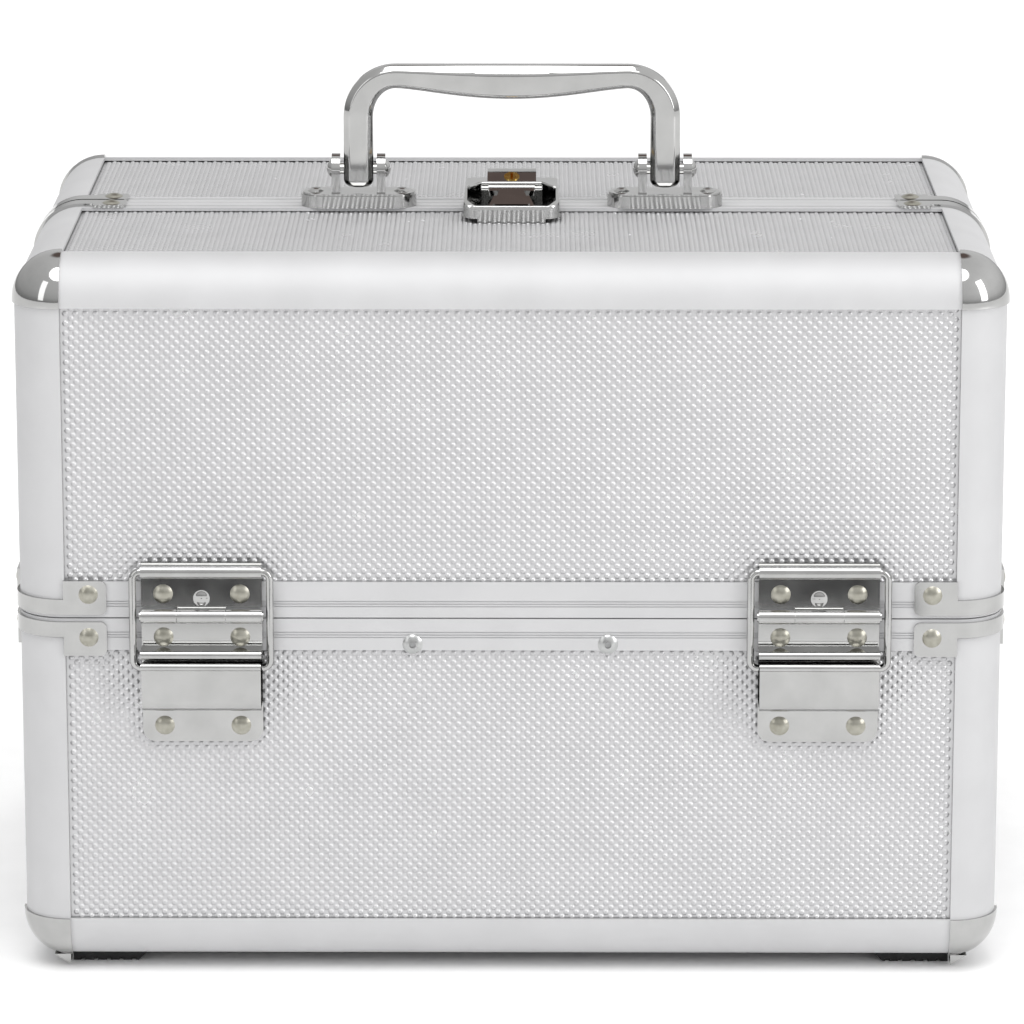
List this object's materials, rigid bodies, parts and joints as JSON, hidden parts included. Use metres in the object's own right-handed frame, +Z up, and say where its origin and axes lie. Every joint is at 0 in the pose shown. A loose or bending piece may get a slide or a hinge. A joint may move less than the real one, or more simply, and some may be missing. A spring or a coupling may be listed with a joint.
{
  "type": "makeup train case",
  "caption": "Boxy cosmetics train case with two outward-opening half lids, rising trays, aluminium edges, chrome corners, ring-stay hinges, folding bail handle and key lock.",
  "frame": {"origin": "centre of the footprint, on the floor under the feet", "axes": "+X along the length to the right, -Y towards the front, +Z up"},
  "size_m": [0.385, 0.2632, 0.3412],
  "materials": {
    "embossed_abs": "embossed metallic silver ABS sheet",
    "edge_aluminium": "satin anodised extrusion",
    "chrome_plate": "polished chrome plate",
    "rivet_nickel": "nickel plated domed rivets",
    "zinc_steel": "zinc plated steel",
    "key_brass": "polished brass",
    "foot_rubber": "black ribbed rubber",
    "tray_plastic": "black moulded ABS",
    "lining": "black woven lining on card"
  },
  "bodies": {
    "lower_case": {"base_wall_boards": "embossed_abs", "base_floor_board": "embossed_abs", "base_lining": "lining", "base_edge_rails": "edge_aluminium", "base_corner_posts": "edge_aluminium", "base_seam_rim": "edge_aluminium", "base_corner_caps": "chrome_plate", "base_seam_brackets": "chrome_plate", "base_bracket_rivets": "rivet_nickel", "lower_hinge_leaves": "chrome_plate", "lower_hinge_rivets": "rivet_nickel", "hinge_pins": "chrome_plate", "pop_rivets": "zinc_steel", "feet": "foot_rubber", "arm_foot_plates": "zinc_steel"},
    "front_lid": {"front_lid_boards": "embossed_abs", "front_lid_lining": "lining", "front_lid_rails": "edge_aluminium", "front_lid_posts": "edge_aluminium", "front_lid_seam_rim": "edge_aluminium", "front_lid_middle_trim": "edge_aluminium", "front_lid_caps": "chrome_plate", "front_lid_brackets": "chrome_plate", "front_lid_rivets": "rivet_nickel", "front_upper_leaves": "chrome_plate", "front_link_studs": "zinc_steel", "handle_plates": "chrome_plate", "handle_pins": "chrome_plate", "handle_screws": "chrome_plate", "lock_body": "chrome_plate"},
    "front_stays": {"front_ring_stays": "chrome_plate"},
    "rear_lid": {"rear_lid_boards": "embossed_abs", "rear_lid_lining": "lining", "rear_lid_rails": "edge_aluminium", "rear_lid_posts": "edge_aluminium", "rear_lid_seam_rim": "edge_aluminium", "rear_lid_middle_trim": "edge_aluminium", "rear_lid_caps": "chrome_plate", "rear_lid_brackets": "chrome_plate", "rear_lid_rivets": "rivet_nickel", "rear_upper_leaves": "chrome_plate", "rear_link_studs": "zinc_steel"},
    "rear_stays": {"rear_ring_stays": "chrome_plate"},
    "handle": {"handle_grip": "chrome_plate"},
    "lock_lever": {"lock_lever": "chrome_plate"},
    "lock_cylinder": {"lock_cylinder": "key_brass"},
    "lock_bolt": {"lock_bolt": "zinc_steel"},
    "front_outer_arms": {"front_arms_outer": "zinc_steel"},
    "front_inner_arms": {"front_arms_inner": "zinc_steel"},
    "front_links": {"front_links": "zinc_steel"},
    "front_lower_tray": {"front_lower_tray": "tray_plastic"},
    "front_upper_tray": {"front_upper_tray": "tray_plastic"},
    "rear_outer_arms": {"rear_arms_outer": "zinc_steel"},
    "rear_inner_arms": {"rear_arms_inner": "zinc_steel"},
    "rear_links": {"rear_links": "zinc_steel"},
    "rear_lower_tray": {"rear_lower_tray": "tray_plastic"},
    "rear_upper_tray": {"rear_upper_tray": "tray_plastic"}
  },
  "joints": [
    {"name": "front_lid_hinge", "type": "hinge", "parent": "lower_case", "child": "front_lid", "pos_m": [0, -0.1234, 0.146], "axis": [1, 0, 0], "range_deg": [0, 90]},
    {"name": "front_stay_hinge", "type": "hinge", "parent": "front_lid", "child": "front_stays", "pos_m": [0, -0.1234, 0.1636], "axis": [1, 0, 0], "range_deg": [-63, 0]},
    {"name": "front_outer_arm_hinge", "type": "hinge", "parent": "lower_case", "child": "front_outer_arms", "pos_m": [0, -0.0954, 0.138], "axis": [1, 0, 0], "range_deg": [0, 70]},
    {"name": "front_inner_arm_hinge", "type": "hinge", "parent": "lower_case", "child": "front_inner_arms", "pos_m": [0, -0.0604, 0.138], "axis": [1, 0, 0], "range_deg": [0, 70]},
    {"name": "front_lower_tray_hinge", "type": "hinge", "parent": "front_outer_arms", "child": "front_lower_tray", "pos_m": [0, -0.07004, 0.19238], "axis": [1, 0, 0], "range_deg": [-70, 0]},
    {"name": "front_upper_tray_hinge", "type": "hinge", "parent": "front_outer_arms", "child": "front_upper_tray", "pos_m": [0, -0.04638, 0.24313], "axis": [1, 0, 0], "range_deg": [-70, 0]},
    {"name": "front_link_hinge", "type": "hinge", "parent": "front_inner_arms", "child": "front_links", "pos_m": [0, -0.04434, 0.17244], "axis": [1, 0, 0], "range_deg": [-88, 0]},
    {"name": "rear_lid_hinge", "type": "hinge", "parent": "lower_case", "child": "rear_lid", "pos_m": [0, 0.1234, 0.146], "axis": [-1, 0, 0], "range_deg": [0, 90]},
    {"name": "rear_stay_hinge", "type": "hinge", "parent": "rear_lid", "child": "rear_stays", "pos_m": [0, 0.1234, 0.1636], "axis": [-1, 0, 0], "range_deg": [-63, 0]},
    {"name": "rear_outer_arm_hinge", "type": "hinge", "parent": "lower_case", "child": "rear_outer_arms", "pos_m": [0, 0.0954, 0.138], "axis": [-1, 0, 0], "range_deg": [0, 70]},
    {"name": "rear_inner_arm_hinge", "type": "hinge", "parent": "lower_case", "child": "rear_inner_arms", "pos_m": [0, 0.0604, 0.138], "axis": [-1, 0, 0], "range_deg": [0, 70]},
    {"name": "rear_lower_tray_hinge", "type": "hinge", "parent": "rear_outer_arms", "child": "rear_lower_tray", "pos_m": [0, 0.07004, 0.19238], "axis": [-1, 0, 0], "range_deg": [-70, 0]},
    {"name": "rear_upper_tray_hinge", "type": "hinge", "parent": "rear_outer_arms", "child": "rear_upper_tray", "pos_m": [0, 0.04638, 0.24313], "axis": [-1, 0, 0], "range_deg": [-70, 0]},
    {"name": "rear_link_hinge", "type": "hinge", "parent": "rear_inner_arms", "child": "rear_links", "pos_m": [0, 0.04434, 0.17244], "axis": [-1, 0, 0], "range_deg": [-88, 0]},
    {"name": "handle_fold", "type": "hinge", "parent": "front_lid", "child": "handle", "pos_m": [0, -0.0044, 0.2991], "axis": [1, 0, 0], "range_deg": [0, 85]},
    {"name": "lever_lift", "type": "hinge", "parent": "front_lid", "child": "lock_lever", "pos_m": [0, -0.01665, 0.2934], "axis": [-1, 0, 0], "range_deg": [0, 45]},
    {"name": "key_turn", "type": "hinge", "parent": "front_lid", "child": "lock_cylinder", "pos_m": [0, -0.00835, 0.2965], "axis": [0, -0.3379, 0.9412], "range_deg": [0, 90]},
    {"name": "bolt_slide", "type": "slide", "parent": "front_lid", "child": "lock_bolt", "axis": [0, 1, 0], "range_m": [0, 0.006]}
  ],
  "couplings": [
    {"joint": "front_stay_hinge", "follows": "front_lid_hinge", "ratio": -0.7},
    {"joint": "front_outer_arm_hinge", "follows": "front_lid_hinge", "ratio": 0.77778},
    {"joint": "front_inner_arm_hinge", "follows": "front_lid_hinge", "ratio": 0.77778},
    {"joint": "front_lower_tray_hinge", "follows": "front_lid_hinge", "ratio": -0.77778},
    {"joint": "front_upper_tray_hinge", "follows": "front_lid_hinge", "ratio": -0.77778},
    {"joint": "front_link_hinge", "follows": "front_lid_hinge", "ratio": -0.96454},
    {"joint": "rear_stay_hinge", "follows": "rear_lid_hinge", "ratio": -0.7},
    {"joint": "rear_outer_arm_hinge", "follows": "rear_lid_hinge", "ratio": 0.77778},
    {"joint": "rear_inner_arm_hinge", "follows": "rear_lid_hinge", "ratio": 0.77778},
    {"joint": "rear_lower_tray_hinge", "follows": "rear_lid_hinge", "ratio": -0.77778},
    {"joint": "rear_upper_tray_hinge", "follows": "rear_lid_hinge", "ratio": -0.77778},
    {"joint": "rear_link_hinge", "follows": "rear_lid_hinge", "ratio": -0.96454},
    {"joint": "key_turn", "follows": "bolt_slide", "rad_per_m": 261.8}
  ]
}
